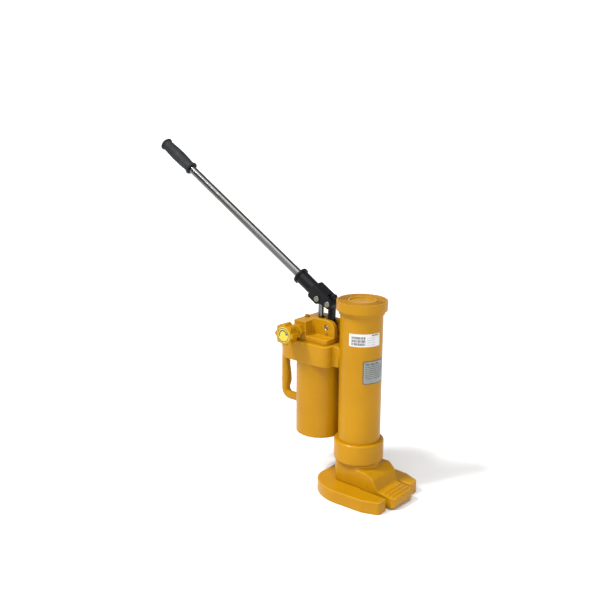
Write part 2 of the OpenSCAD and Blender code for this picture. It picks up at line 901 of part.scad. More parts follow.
module rubber_grip() {
    start = lever_reach - grip_len;
    color(rubber) on_lever() difference() {
        translate([-start, 0, bar_axis]) rotate([0, -90, 0]) rotate_extrude($fn = round_fn) polygon(concat(
            [[0, 0], [grip_end_r, 0], [grip_end_r, grip_end_w], [grip_r, grip_end_w + 1.5]],
            [for (t = [0.1 : 0.1 : 0.9])
                [grip_r + grip_swell * sin(180 * t), grip_end_w + t * (grip_len - 2 * grip_end_w)]],
            [[grip_r, grip_len - grip_end_w - 1.5], [grip_end_r, grip_len - grip_end_w],
             [grip_end_r, grip_len - 1], [grip_end_r - 1.5, grip_len], [0, grip_len]]
        ));
        bar(lever_r, start - 5, lever_reach - 4);
    }
}

module release_spindle() {
    tip_y = -9.2;
    color(steel) {
        cross_rod(spindle_r, valve_x, valve_z, knob_face + 2, tip_y);
        translate([valve_x, tip_y, valve_z]) rotate([-90, 0, 0])
            cylinder(r1 = spindle_r, r2 = 1.2, h = 3, $fn = round_fn);
    }
}

module release_knob() {
    back = knob_face + knob_t;
    color(paint) difference() {
        union() {
            cross_rod(knob_core_r, valve_x, valve_z, knob_face, back);
            for (i = [0 : knob_lobes - 1])
                translate([valve_x, 0, valve_z]) rotate([0, i * 360 / knob_lobes, 0])
                    cross_rod(lobe_r, knob_r - lobe_r, 0, knob_face + 1, back - 1);
            cross_rod(hub_r, valve_x, valve_z, back - 1, back + hub_len);
        }
        cross_rod(spindle_r, valve_x, valve_z, knob_face - 1, 0);
        cross_rod(7, valve_x, valve_z, knob_face - 1, knob_face + 6);
        cross_rod(disc_r, valve_x, valve_z, knob_face - 1, knob_face + 1);
    }
}

module knob_disc() {
    color("#e0c81c") cross_rod(disc_r - 0.1, valve_x, valve_z, knob_face - 0.4, knob_face + 1);
}

module knob_nut() {
    color(steel) difference() {
        translate([valve_x, knob_face + 5.6, valve_z]) rotate([90, 0, 0]) cylinder(r = 6.4, h = 4, $fn = 6);
        cross_rod(spindle_r, valve_x, valve_z, knob_face - 1, 0);
    }
}

base_plate();
base_screws();
ram_rod();
ram_piston();
piston_seal();
piston_guide_ring();
piston_nut();
toe_casting();
swivel_washer();
cylinder_tube();
lower_collar();
head_cap();
head_seal();
bottom_gland();
rod_guide_bush();
rod_wiper();
rod_seal();
stop_ring();
swivel_nut();
pump_bracket();
pump_head();
pump_head_screws();
reservoir_tube();
reservoir_bottom();
reservoir_seal();
carry_handle();
filler_plug();
filler_washer();
pump_barrel();
plunger_seal();
suction_tube();
suction_strainer();
inlet_ball();
outlet_ball();
outlet_spring();
outlet_plug();
relief_ball();
relief_spring();
relief_screw();
release_gland();
data_plate();
blank_label();
lug_pin();
lug_set_screw();
plunger_rod();
lever_socket();
plunger_pin();
link_pin();
pin_clips();
link_arm();
lever_tube();
lever_plug();
rubber_grip();
release_spindle();
release_knob();
knob_disc();
knob_nut();
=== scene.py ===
import json
import math
import random

import bpy
import numpy as np
from mathutils import Matrix, Vector


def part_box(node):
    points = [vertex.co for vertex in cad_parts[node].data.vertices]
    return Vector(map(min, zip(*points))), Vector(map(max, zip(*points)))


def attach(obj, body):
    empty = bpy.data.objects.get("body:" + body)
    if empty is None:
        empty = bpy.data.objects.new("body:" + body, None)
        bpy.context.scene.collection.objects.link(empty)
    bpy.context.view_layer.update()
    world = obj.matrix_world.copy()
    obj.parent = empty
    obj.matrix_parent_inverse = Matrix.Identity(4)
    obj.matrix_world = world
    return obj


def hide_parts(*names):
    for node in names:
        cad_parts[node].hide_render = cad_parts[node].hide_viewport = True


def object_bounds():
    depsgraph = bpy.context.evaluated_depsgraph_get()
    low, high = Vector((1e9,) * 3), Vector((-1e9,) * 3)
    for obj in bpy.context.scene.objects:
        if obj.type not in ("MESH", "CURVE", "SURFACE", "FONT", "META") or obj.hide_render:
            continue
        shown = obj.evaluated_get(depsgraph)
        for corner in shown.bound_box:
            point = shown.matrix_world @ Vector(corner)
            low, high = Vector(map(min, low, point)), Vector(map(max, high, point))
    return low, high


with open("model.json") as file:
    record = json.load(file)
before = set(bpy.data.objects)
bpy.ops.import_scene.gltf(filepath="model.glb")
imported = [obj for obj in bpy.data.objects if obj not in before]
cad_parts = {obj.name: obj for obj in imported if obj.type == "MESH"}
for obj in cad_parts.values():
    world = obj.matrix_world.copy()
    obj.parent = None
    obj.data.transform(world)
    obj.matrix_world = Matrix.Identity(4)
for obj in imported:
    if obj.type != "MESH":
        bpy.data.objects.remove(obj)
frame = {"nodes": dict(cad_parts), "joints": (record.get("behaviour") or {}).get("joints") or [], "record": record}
cad_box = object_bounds()

MM = 0.001
SLOT_OF = {row["node"]: row["material_slot"] for row in frame["record"]["subparts"]}
BODY_OF = {
    node: body for body, nodes in frame["record"]["behaviour"]["bodies"].items() for node in nodes
}
UP = Vector((0, 0, 1))
ACROSS = Vector((0, 1, 0))
LEVER = Vector(next(j["axis"] for j in frame["joints"] if j["name"] == "lever_pull")).normalized()


# Finishes ------------------------------------------------------------------------------------------

class Finish:
    """One procedural material, built up node by node on the object's own coordinates."""

    def __init__(self, name, **values):
        self.material = bpy.data.materials.new(name)
        self.material.use_nodes = True
        self.tree = self.material.node_tree
        self.shader = self.tree.nodes["Principled BSDF"]
        for socket, value in values.items():
            self.shader.inputs[socket.replace("_", " ")].default_value = value
        self.place = self.add("ShaderNodeTexCoord").outputs["Object"]

    def add(self, kind, **settings):
        node = self.tree.nodes.new(kind)
        for key, value in settings.items():
            setattr(node, key, value)
        return node

    def link(self, out, into):
        self.tree.links.new(out, into)

    def noise(self, scale, detail=3.0, rough=0.5, stretch=(1, 1, 1), turn=(0, 0, 0)):
        """Cloudy noise from 0 to 1; stretch squeezes it along the axes."""
        mapping = self.add("ShaderNodeMapping")
        mapping.inputs["Rotation"].default_value = turn
        mapping.inputs["Scale"].default_value = stretch
        node = self.add("ShaderNodeTexNoise")
        node.inputs["Scale"].default_value = scale
        node.inputs["Detail"].default_value = detail
        node.inputs["Roughness"].default_value = rough
        self.link(self.place, mapping.inputs["Vector"])
        self.link(mapping.outputs["Vector"], node.inputs["Vector"])
        return node.outputs["Fac"]

    def cells(self, scale):
        """Distance from the middle of small random cells."""
        node = self.add("ShaderNodeTexVoronoi")
        node.inputs["Scale"].default_value = scale
        self.link(self.place, node.inputs["Vector"])
        return node.outputs["Distance"]

    def edges(self):
        """High on outer edges, low in inner corners."""
        return self.add("ShaderNodeNewGeometry").outputs["Pointiness"]

    def span(self, value, start, end, low=0.0, high=1.0):
        """Carries start..end of a value to low..high."""
        node = self.add("ShaderNodeMapRange")
        for socket, number in zip(("From Min", "From Max", "To Min", "To Max"), (start, end, low, high)):
            node.inputs[socket].default_value = number
        self.link(value, node.inputs["Value"])
        return node.outputs["Result"]

    def times(self, a, b):
        node = self.add("ShaderNodeMath", operation="MULTIPLY")
        self.link(a, node.inputs[0])
        self.link(b, node.inputs[1])
        return node.outputs[0]

    def blend(self, share, first, second):
        """A colour between two, each a tuple or a socket."""
        node = self.add("ShaderNodeMix", data_type="RGBA")
        self.link(share, node.inputs["Factor"])
        for socket, colour in ((node.inputs[6], first), (node.inputs[7], second)):
            if isinstance(colour, tuple):
                socket.default_value = (*colour, 1)
            else:
                self.link(colour, socket)
        return node.outputs[2]

    def bump(self, *layers):
        """Bump from (height, depth in metres) layers, one on the other."""
        below = None
        for height, depth in layers:
            node = self.add("ShaderNodeBump")
            node.inputs["Distance"].default_value = depth
            self.link(height, node.inputs["Height"])
            if below is not None:
                self.link(below, node.inputs["Normal"])
            below = node.outputs["Normal"]
        self.link(below, self.shader.inputs["Normal"])

    def colour(self, socket):
        self.link(socket, self.shader.inputs["Base Color"])

    def roughness(self, socket):
        self.link(socket, self.shader.inputs["Roughness"])


def enamel(name, main, deep, pale, bare, rough, coat, edged):
    """Sprayed paint: drifts of tone, dust and orange peel; edged adds a painted highlight and wear chips on a fine
    mesh's edges.
    """
    made = Finish(name, Coat_Weight=coat, Coat_Roughness=0.1, Specular_IOR_Level=0.09)
    drift = made.span(made.noise(9, 4, 0.55), 0.35, 0.65)
    tone = made.blend(drift, main, deep)
    dust = made.span(made.noise(260, 3, 0.7), 0.64, 0.74)
    tone = made.blend(made.times(dust, made.span(made.noise(22), 0.5, 0.62, 0, 0.4)), tone, pale)
    if edged:
        # painted highlight: convex edges are blended towards the pale colour to stand in for the light edge
        # highlights
        tone = made.blend(made.span(made.edges(), 0.51, 0.57, 0, 0.8), tone, pale)
        chips = made.span(made.noise(190, 5, 0.65), 0.62, 0.65)
        tone = made.blend(made.times(chips, made.span(made.edges(), 0.57, 0.59)), tone, bare)
    made.colour(tone)
    made.roughness(made.span(made.noise(48, 5, 0.6), 0.3, 0.7, rough, rough + 0.14))
    peel, ripple, speckle = made.noise(420, 2, 0.5), made.noise(75, 3, 0.5), made.cells(900)
    made.bump((peel, 0.00006), (ripple, 0.00025), (speckle, 0.00002))
    return made.material


def metal(name, main, deep, rough, grain, spread=0.12):
    """Bare metal with drawn grain and a haze of handling marks."""
    made = Finish(name, Metallic=1.0)
    lines = made.noise(900, 3, 0.6, grain)
    haze = made.span(made.noise(34, 5, 0.6), 0.4, 0.68)
    made.colour(made.blend(made.times(haze, made.span(lines, 0.25, 0.75, 0.4, 1)), main, deep))
    made.roughness(made.span(made.noise(120, 4, 0.65, grain), 0.3, 0.7, rough, rough + spread))
    made.bump((lines, 0.000015), (made.noise(160, 3), 0.00002))
    return made.material


def chrome_bar():
    """Polished tube, with faint scratches along the lever and a few dull spots."""
    made = Finish("chrome", Metallic=1.0)
    lean = math.atan2(LEVER.z, -LEVER.x)
    scratches = made.noise(700, 3, 0.6, (0.03, 1, 1), (0, -lean, 0))
    spots = made.span(made.noise(420, 3, 0.6), 0.66, 0.72)
    made.colour(made.blend(spots, (0.15, 0.15, 0.145), (0.08, 0.075, 0.06)))
    made.roughness(made.span(scratches, 0.35, 0.7, 0.07, 0.2))
    made.bump((scratches, 0.000012), (made.noise(60), 0.00003))
    return made.material


def soft_rubber(name, main, pale, rough):
    """Moulded rubber: fine pebble, rubbed patches and dust in the skin."""
    made = Finish(name, Specular_IOR_Level=0.18)
    rubbed = made.span(made.noise(30, 4, 0.6), 0.42, 0.7)
    lint = made.span(made.noise(500, 2, 0.5), 0.68, 0.74, 0, 0.35)
    made.colour(made.blend(lint, made.blend(rubbed, main, pale), (0.3, 0.3, 0.28)))
    made.roughness(made.span(made.noise(70, 4), 0.3, 0.7, rough, rough + 0.16))
    made.bump((made.cells(700), 0.00012), (made.noise(180, 3), 0.00015))
    return made.material


def plate_finish():
    made = Finish("plate_metal", Metallic=0.35)
    grain = made.noise(800, 2, 0.5, (1, 1, 0.05))
    cloud = made.span(made.noise(60, 4), 0.35, 0.65)
    made.colour(made.blend(cloud, (0.25, 0.27, 0.26), (0.2, 0.215, 0.205)))
    made.roughness(made.span(grain, 0.3, 0.7, 0.34, 0.48))
    made.bump((grain, 0.00002), (made.noise(90), 0.00004))
    return made.material


def film_finish():
    made = Finish("label_film", Coat_Weight=0.2)
    stain = made.span(made.noise(45, 5, 0.6), 0.48, 0.72)
    made.colour(made.blend(stain, (0.61, 0.605, 0.625), (0.52, 0.51, 0.51)))
    made.roughness(made.span(made.noise(150), 0.3, 0.7, 0.3, 0.44))
    made.bump((made.noise(110, 4, 0.6), 0.00012))
    return made.material


def disc_finish():
    made = Finish("disc_plastic", Coat_Weight=0.3)
    scuffs = made.span(made.noise(260, 4, 0.65), 0.56, 0.7)
    made.colour(made.blend(scuffs, (0.6, 0.46, 0.012), (0.46, 0.35, 0.03)))
    made.roughness(made.span(made.noise(180), 0.3, 0.7, 0.25, 0.42))
    made.bump((made.noise(300, 3), 0.00005))
    return made.material


def ink_finish(name, main, worn):
    made = Finish(name)
    made.colour(made.blend(made.span(made.noise(700, 4, 0.7), 0.5, 0.68), main, worn))
    made.roughness(made.span(made.noise(300), 0.3, 0.7, 0.4, 0.6))
    made.bump((made.noise(600), 0.00002))
    return made.material


# Paint colours: main, deeper drifts, dust and the painted highlight on edges, bare chips; then roughness and clear
# coat.
YELLOW = ((0.43, 0.206, 0.002), (0.38, 0.178, 0.002), (0.62, 0.35, 0.04), (0.2, 0.12, 0.05), 0.28, 0.13)
BLACK = ((0.008, 0.009, 0.011), (0.005, 0.005, 0.006), (0.03, 0.032, 0.038), (0.12, 0.12, 0.11), 0.34, 0.06)
CAST_FINISHES = {
    "yellow_paint": enamel("cast_yellow", *YELLOW, True),
    "black_paint": enamel("cast_black", *BLACK, True),
}
FINISHES = {
    "yellow_paint": enamel("yellow_paint", *YELLOW, False),
    "black_paint": enamel("black_paint", *BLACK, False),
    "steel": metal("steel", (0.27, 0.265, 0.22), (0.13, 0.115, 0.08), 0.3, (1, 0.1, 1)),
    "chrome": chrome_bar(),
    "bronze": metal("bronze", (0.5, 0.3, 0.12), (0.26, 0.14, 0.05), 0.3, (1, 1, 0.2)),
    "seal_rubber": soft_rubber("seal_rubber", (0.012, 0.012, 0.013), (0.03, 0.03, 0.03), 0.5),
    "grip_rubber": soft_rubber("grip_rubber", (0.014, 0.0155, 0.017), (0.028, 0.03, 0.032), 0.58),
    "plate_metal": plate_finish(),
    "label_film": film_finish(),
    "disc_plastic": disc_finish(),
}
INK = ink_finish("ink", (0.035, 0.035, 0.035), (0.2, 0.2, 0.19))


# Mesh helpers --------------------------------------------------------------------------------------

def add_piece(name, mesh, body, slot, material=None):
    """Puts a finished mesh on a body with its finish."""
    piece = bpy.data.objects.new(name, mesh)
    bpy.context.scene.collection.objects.link(piece)
    mesh.materials.clear()
    mesh.materials.append(material or FINISHES[slot])
    for face in mesh.polygons:
        face.use_smooth = True
    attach(piece, body)
    return piece


def mesh_from(name, verts, faces):
    mesh = bpy.data.meshes.new(name)
    mesh.from_pydata([tuple(v) for v in verts], [], faces)
    mesh.validate()
    return mesh


def rounded(points, radius, closed=False, steps=4):
    """An outline with each corner turned into a small curve; radius is one number or one per corner."""
    count = len(points)
    radii = radius if isinstance(radius, (list, tuple)) else [radius] * count
    out = []
    for i, point in enumerate(points):
        if radii[i] <= 0 or not closed and i in (0, count - 1):
            out.append(tuple(point))
            continue
        corner = Vector(point)
        arms = [Vector(points[i - 1]) - corner, Vector(points[(i + 1) % count]) - corner]
        half = arms[0].angle(arms[1]) / 2
        cut = min(radii[i] / math.tan(half), 0.49 * arms[0].length, 0.49 * arms[1].length)
        start, end = (corner + arm.normalized() * cut for arm in arms)
        for k in range(steps + 1):
            t = k / steps
            out.append(tuple(start * (1 - t) ** 2 + corner * 2 * t * (1 - t) + end * t * t))
    return out


def along(node, axis):
    """A round CAD part along an axis: its low end on the axis, its length and its largest radius."""
    sides = [axis, axis.orthogonal().normalized()]
    sides.append(axis.cross(sides[1]))
    points = np.array([v.co for v in frame["nodes"][node].data.vertices])
    spans = [points @ np.array(side) for side in sides]
    middle = [(span.min() + span.max()) / 2 for span in spans[1:]]
    low = sides[0] * spans[0].min() + sides[1] * middle[0] + sides[2] * middle[1]
    return low, spans[0].max() - spans[0].min(), (spans[1].max() - spans[1].min()) / 2


def lathe(name, origin, axis, profile, closed=False, steps=96):
    """A turned mesh: the profile is (radius, distance along the axis) in millimetres."""
    turn = UP.rotation_difference(axis).to_matrix()
    verts, rings = [], []
    for radius, height in profile:
        if radius < 1e-6:
            rings.append([len(verts)] * steps)
            verts.append(origin + turn @ Vector((0, 0, height * MM)))
            continue
        rings.append(list(range(len(verts), len(verts) + steps)))
        for k in range(steps):
            angle = 2 * math.pi * k / steps
            spot = Vector((radius * math.cos(angle), radius * math.sin(angle), height)) * MM
            verts.append(origin + turn @ spot)
    faces = []
    pairs = list(zip(rings, rings[1:])) + ([(rings[-1], rings[0])] if closed else [])
    for low, high in pairs:
        for k in range(steps):
            loop = [low[k], low[(k + 1) % steps], high[(k + 1) % steps], high[k]]
            face = [v for i, v in enumerate(loop) if v != loop[i - 1]]
            if len(face) > 2:
                faces.append(face)
    return mesh_from(name, verts, faces)


def turned(name, node, axis, profile, closed=False, steps=96):
    """A turned piece that stands for a CAD node; profile distances start at the node's low end."""
    origin = along(node, axis)[0]
    piece = add_piece(name, lathe(name, origin, axis, profile, closed, steps), BODY_OF[node], SLOT_OF[node])
    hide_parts(node)
    return piece


def baked(piece):
    """Applies a piece's modifiers."""
    depsgraph = bpy.context.evaluated_depsgraph_get()
    mesh = bpy.data.meshes.new_from_object(piece.evaluated_get(depsgraph))
    piece.modifiers.clear()
    piece.data = mesh
    for face in mesh.polygons:
        face.use_smooth = True


def cast(name, node, grain, passes, swell):
    """The CAD solid skinned afresh: grain and swell in millimetres, passes of smoothing.

    The uneven face only sinks below the skin, so the casting stays inside its CAD solid.
    """
    piece = add_piece(name, frame["nodes"][node].data.copy(), BODY_OF[node], SLOT_OF[node])
    skin = piece.modifiers.new("skin", "REMESH")
    skin.mode = "VOXEL"
    skin.voxel_size = grain * MM
    soft = piece.modifiers.new("soft", "SMOOTH")
    soft.factor = 0.5
    soft.iterations = passes
    clouds = bpy.data.textures.new(name + "_face", "CLOUDS")
    clouds.noise_scale = 0.02
    face = piece.modifiers.new("face", "DISPLACE")
    face.texture = clouds
    face.texture_coords = "LOCAL"
    face.strength = swell * MM
    face.mid_level = 1.0
    baked(piece)
    piece.data.materials.clear()
    piece.data.materials.append(CAST_FINISHES[SLOT_OF[node]])
    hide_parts(node)


# Castings ------------------------------------------------------------------------------------------

def castings():
    cast("base_casting", "base_plate", 1.0, 10, 0.3)
    cast("toe_body", "toe_casting", 0.7, 7, 0.2)
    cast("bracket_casting", "pump_bracket", 1.0, 10, 0.3)
    cast("head_casting", "pump_head", 0.75, 7, 0.25)
    cast("handle_loop", "carry_handle", 0.7, 8, 0.2)
    cast("knob_casting", "release_knob", 0.45, 6, 0.12)
    cast("gland_nut", "release_gland", 0.5, 5, 0.1)
    cast("fork_and_socket", "lever_socket", 0.55, 6, 0.1)
    cast("link_bar", "link_arm", 0.45, 6, 0.1)


def toe_ribs():
    """Crisp grip ribs across the toe plate, on the second of which the toe mount lies."""
    mount = next(row for row in frame["record"]["mounts"] if row["name"] == "toe_face")
    top, normal = Vector(mount["pos_m"]), Vector(mount["axis"])
    down = ACROSS.cross(normal)
    section = rounded([(-2.4, -1.5), (-1.4, 0), (1.4, 0), (2.4, -1.5)], 0.5)
    half, inset, pitch = 27.4, 0.8, 8.2
    verts, faces = [], []
    for rib in range(-1, 3):
        middle = top + down * (pitch * rib * MM)
        first = len(verts)
        for side, shrink in ((-half, 0.55), (-half + inset, 1), (half - inset, 1), (half, 0.55)):
            for along_x, height in section:
                spot = down * along_x * shrink + normal * (height if shrink == 1 else height * 0.4 - 0.9)
                verts.append(middle + (spot + ACROSS * side) * MM)
        count = len(section)
        for row in range(3):
            for k in range(count - 1):
                a = first + row * count + k
                faces.append((a, a + 1, a + count + 1, a + count))
        faces.append(tuple(first + k for k in reversed(range(count))))
        faces.append(tuple(first + 3 * count + k for k in range(count)))
    name = "toe_grip_ribs"
    add_piece(name, mesh_from(name, verts, faces), BODY_OF["toe_casting"], SLOT_OF["toe_casting"])


def web_fillets():
    """The cast-in curve between the bracket's web and the column."""
    low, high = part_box("pump_bracket")
    column = along("cylinder_tube", UP)[2] / MM
    web, radius = 28.0, 9.0
    middle = Vector((-math.sqrt((column + radius) ** 2 - (web + radius) ** 2), web + radius))
    touch = middle * (column / middle.length)
    start = math.atan2(-radius, 0)
    end = math.atan2(touch.y - middle.y, touch.x - middle.x)
    steps, edge = 8, 0.0012
    turns = [start + (end - start) * k / steps for k in range(steps + 1)]
    arc = [middle + Vector((math.cos(turn), math.sin(turn))) * radius for turn in turns]
    plan = arc + [Vector((touch.x + 1.5, touch.y - 2.5)), Vector((middle.x, web - 1))]
    count = len(plan)
    levels = [low.z + edge, high.z - edge]
    for side, name in ((1, "web_fillet_left"), (-1, "web_fillet_right")):
        verts = [Vector((p.x * MM, side * p.y * MM, z)) for z in levels for p in plan]
        faces = [(k, (k + 1) % count, count + (k + 1) % count, count + k) for k in range(count)]
        faces += [tuple(reversed(range(count))), tuple(range(count, 2 * count))]
        if side < 0:
            faces = [tuple(reversed(face)) for face in faces]
        mesh = mesh_from(name, verts, faces)
        piece = add_piece(name, mesh, BODY_OF["pump_bracket"], SLOT_OF["pump_bracket"])
        for face in piece.data.polygons:
            face.use_smooth = abs(face.normal.z) < 0.5


# Turned parts --------------------------------------------------------------------------------------

def head_cap():
    """The head seat: a flared lip over the column, grip grooves in its top and a shallow middle."""
    length, radius = (value / MM for value in along("head_cap", UP)[1:])
    column = along("cylinder_tube", UP)[2] / MM
    seat, lip, spigot = length - 17.4, length - 23.8, 29
    grooves, depth, half = (41.4, 37.0, 32.6, 28.2), 2.2, 1.3
    outline = [(0, 0), (spigot, 0), (spigot, seat), (column, seat), (column, lip), (42.2, lip)]
    outline += [(42.5, seat - 0.4)]
    outline += [(radius - 0.2, seat), (radius, length)]
    rounds = [0, 0, 0, 0, 0, 0.2, 0.2, 0.4, 1.1]
    for groove in grooves:
        outline += [
            (groove + half, length), (groove + half * 0.8, length - depth),
            (groove - half * 0.8, length - depth), (groove - half, length),
        ]
        rounds += [0.35] * 4
    outline += [(22.8, length), (22.2, length - 2.4), (2.8, length - 2.2)]
    outline += [(1.6, length - 4), (0, length - 4.4)]
    rounds += [0.7, 0.8, 0.5, 0.4, 0]
    turned("head_seat", "head_cap", UP, rounded(outline, rounds), steps=128)


def collar():
    """The ring round the column's foot, with a bevelled top edge."""
    length, radius = (value / MM for value in along("lower_collar", UP)[1:])
    inner = along("cylinder_tube", UP)[2] / MM
    outline = [
        (inner, 0), (radius - 0.3, 0), (radius, 2), (radius, length - 2.2), (radius - 1.7, length - 0.2),
        (inner + 1.2, length - 0.4), (inner, length),
    ]
    profile = rounded(outline, [0, 0.9, 0.6, 0.8, 0.8, 0.6, 0], True)
    turned("collar_ring", "lower_collar", UP, profile, True, 128)


def tank_bottom():
    """The reservoir's end plate, dished inside its rounded rim."""
    length, radius = (value / MM for value in along("reservoir_bottom", UP)[1:])
    outline = [
        (0, 1.2), (radius - 9, 1.0), (radius - 6.5, 0), (radius, 0), (radius, 3.4), (radius - 0.5, 3.8),
        (radius - 0.5, 4), (radius - 3, 4), (radius - 3, length), (0, length),
    ]
    profile = rounded(outline, [0, 1, 1, 2.4, 0.3, 0.2, 0, 0, 0.5, 0])
    turned("tank_end", "reservoir_bottom", UP, profile, steps=128)


def grip():
    """Barrel grip with thin end flanges and shallow finger rings."""
    length, flange = (value / MM for value in along("rubber_grip", LEVER)[1:])
    waist, swell, end = 10.7, 1.9, 3.6
    outline = [(8.2, 0), (flange - 0.6, 0), (flange, 1.2), (flange, end - 0.9), (flange - 0.9, end)]
    outline += [(waist + 0.5, end + 0.4)]
    rounds = [0, 0.7, 0.9, 0.9, 0.7, 0.8]
    steps = 40
    for k in range(1, steps):
        t = k / steps
        ring = 0.28 * math.cos(2 * math.pi * 13 * t) ** 8 if 0.14 < t < 0.86 else 0
        outline.append((waist + swell * math.sin(math.pi * t) - ring, end + t * (length - 2 * end)))
        rounds.append(0)
    outline += [(waist + 0.5, length - end - 0.4), (flange - 0.9, length - end)]
    outline += [(flange, length - end + 0.9)]
    outline += [(flange, length - 1.4), (flange - 1.6, length), (3, length - 0.3), (0, length - 0.3)]
    rounds += [0.8, 0.7, 0.9, 0.9, 1.2, 0.5, 0]
    turned("grip_sleeve", "rubber_grip", LEVER, rounded(outline, rounds), steps=96)


def headed_pin(name, node):
    """A pivot pin with a domed head towards the near side."""
    length, head = (value / MM for value in along(node, ACROSS)[1:])
    shank, head_h = 4.5, 2.8
    outline = [
        (0, 0.35), (head * 0.35, 0.3), (head * 0.45, 0), (head - 0.7, 0), (head, 0.7), (head, head_h),
        (shank, head_h), (shank, length - 0.8), (shank - 0.8, length), (0, length),
    ]
    turned(name, node, ACROSS, rounded(outline, [0, 0.2, 0.2, 0.4, 0.4, 0.2, 0, 0.2, 0.2, 0]), steps=48)


def lug_pivot():
    """The ears' pin: a bevelled end with a turned groove, as left by its retaining ring."""
    length, radius = (value / MM for value in along("lug_pin", ACROSS)[1:])
    outline = [
        (0, 1.1), (0.9, 0.9), (1.1, 0.5), (2.5, 0.5), (2.7, 1.9), (4.1, 1.9), (4.3, 0.7),
        (radius - 0.3, 0.7), (radius, 1.1), (radius, length - 0.8), (radius - 0.8, length), (0, length),
    ]
    turned("lug_pivot", "lug_pin", ACROSS, outline, steps=48)


def knob_face():
    """The domed disc in the knob, with its printed ring and turn arrow."""
    node = "knob_disc"
    origin, length, radius = along(node, ACROSS)
    outer, depth = radius / MM, length / MM
    outline = [(0, 0.12), (outer - 1.4, 0.3), (outer - 0.3, 0.5), (outer, 0.9)]
    outline += [(outer, depth), (0, depth)]
    turned("disc_plate", node, ACROSS, rounded(outline, [0, 0.3, 0.3, 0.3, 0, 0]), steps=64)
    sheet = 0.05
    verts, faces = [], []

    def band(inner, outer, start, end, steps):
        """A flat arc on the disc, between two radii and two angles in degrees."""
        first = len(verts)
        for k in range(steps + 1):
            angle = math.radians(start + (end - start) * k / steps)
            for reach in (inner, outer):
                spot = Vector((reach * math.cos(angle), 0, reach * math.sin(angle))) * MM
                verts.append(origin + spot + ACROSS * (sheet * MM))
        faces.extend(
            (first + 2 * k, first + 2 * k + 1, first + 2 * k + 3, first + 2 * k + 2) for k in range(steps)
        )

    band(12.0, 13.4, 0, 360, 64)
    band(7.3, 9.6, 25, 200, 32)
    band(5.6, 11.2, 5, 25, 6)
    add_piece("disc_print", mesh_from("disc_print", verts, faces), BODY_OF[node], SLOT_OF[node], INK)


# Labels --------------------------------------------------------------------------------------------

class Wrap:
    """Sheets wrapped on the column, where a flat CAD label lies."""

    def __init__(self, node):
        self.node = node
        points = np.array([v.co for v in frame["nodes"][node].data.vertices])
        turns = np.arctan2(points[:, 1], points[:, 0])
        self.turn = (turns.min() + turns.max()) / 2
        self.low = points[:, 2].min()
        self.radius = np.hypot(points[:, 0], points[:, 1]).max() - 0.0005
        self.width = (turns.max() - turns.min()) * self.radius
        self.height = points[:, 2].max() - self.low

    def spot(self, across, up, lift):
        """A point on the wrap: metres along and up from its lower left corner, lifted off the tube."""
        angle = self.turn + (across - self.width / 2) / self.radius
        reach = self.radius + lift
        return Vector((reach * math.cos(angle), reach * math.sin(angle), self.low + up))

    def sheet(self, left, right, low, high, corner, lift, verts, faces):
        """Adds a rounded sheet with its rim, all in metres."""
        columns = max(2, int((right - left) / 0.0012))
        first = len(verts)
        for k in range(columns + 1):
            across = left + (right - left) * k / columns
            near = min(across - left, right - across)
            inset = corner - math.sqrt(max(corner**2 - max(corner - near, 0) ** 2, 0)) if corner else 0
            foot, crest = low + inset, high - inset
            for up, height in ((foot, 0), (foot, lift), (crest, lift), (crest, 0)):
                verts.append(self.spot(across, up, height))
        for k in range(columns):
            a, b = first + 4 * k, first + 4 * k + 4
            for i in range(3):
                faces.append((a + i, b + i, b + i + 1, a + i + 1))
        last = first + 4 * columns
        faces.append((first, first + 1, first + 2, first + 3))
        faces.append((last + 3, last + 2, last + 1, last))

    def lines(self, rows, seed, verts, faces):
        """Rows of short generic strokes; a row is (left, right, low, high, stroke length, gap, lift)."""
        chance = random.Random(seed)
        for left, right, low, high, stroke, gap, lift in rows:
            across = left
            while across < right - stroke * 0.3:
                end = min(right, across + stroke * chance.uniform(0.5, 1.6))
                self.sheet(across, end, low, high, 0, lift, verts, faces)
                across = end + gap * chance.uniform(0.6, 1.5)


def wrapped(name, wrap, build, slot, material=None, replaces=False):
    """A piece made of sheets on a wrap; build(verts, faces) adds the sheets."""
    verts, faces = [], []
    build(verts, faces)
    piece = add_piece(name, mesh_from(name, verts, faces), BODY_OF[wrap.node], slot, material)
    for face in piece.data.polygons:
        face.use_smooth = False
    if replaces:
        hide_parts(wrap.node)


def column_labels():
    """The data plate and the paper label, with rows of generic marks."""
    plate = Wrap("data_plate")
    w, h, rim = plate.width, plate.height, 0.0017
    wrapped("plate_border", plate, lambda v, f: plate.sheet(0, w, 0, h, 0.004, 0.0003, v, f),
            "plate_metal", INK, True)
    wrapped("plate_face", plate, lambda v, f: plate.sheet(rim, w - rim, rim, h - rim, 0.003, 0.0004, v, f),
            "plate_metal")
    pitch, mark_lift = 0.0037, 0.00045
    rows = [(0.005, w - 0.016, h - 0.0075, h - 0.0048, 0.006, 0.0015, mark_lift)]
    rows += [
        (0.004, w - 0.005, h - 0.0115 - pitch * k, h - 0.0103 - pitch * k, 0.005, 0.001, mark_lift)
        for k in range(7)
    ]
    wrapped("plate_marks", plate, lambda v, f: plate.lines(rows, 5, v, f), "plate_metal", INK)

    film = Wrap("blank_label")
    w, h = film.width, film.height
    wrapped("label_sheet", film, lambda v, f: film.sheet(0, w, 0, h, 0.0008, 0.0002, v, f),
            "label_film", None, True)
    block, line, mark_lift = 0.0058, 0.0042, 0.00025
    bars = [
        (0.005, w * 0.5, 0.0026 + block * k, 0.0072 + block * k, 0.0015, 0.0007, mark_lift)
        for k in range(3)
    ]
    bars += [
        (w * 0.55, w * 0.8, 0.0035 + line * k, 0.0042 + line * k, 0.003, 0.0012, mark_lift)
        for k in range(4)
    ]
    bars += [(w * 0.7, w - 0.004, h - 0.0034, h - 0.0014, 0.004, 0.0006, mark_lift)]
    wrapped("label_marks", film, lambda v, f: film.lines(bars, 9, v, f), "label_film", INK)


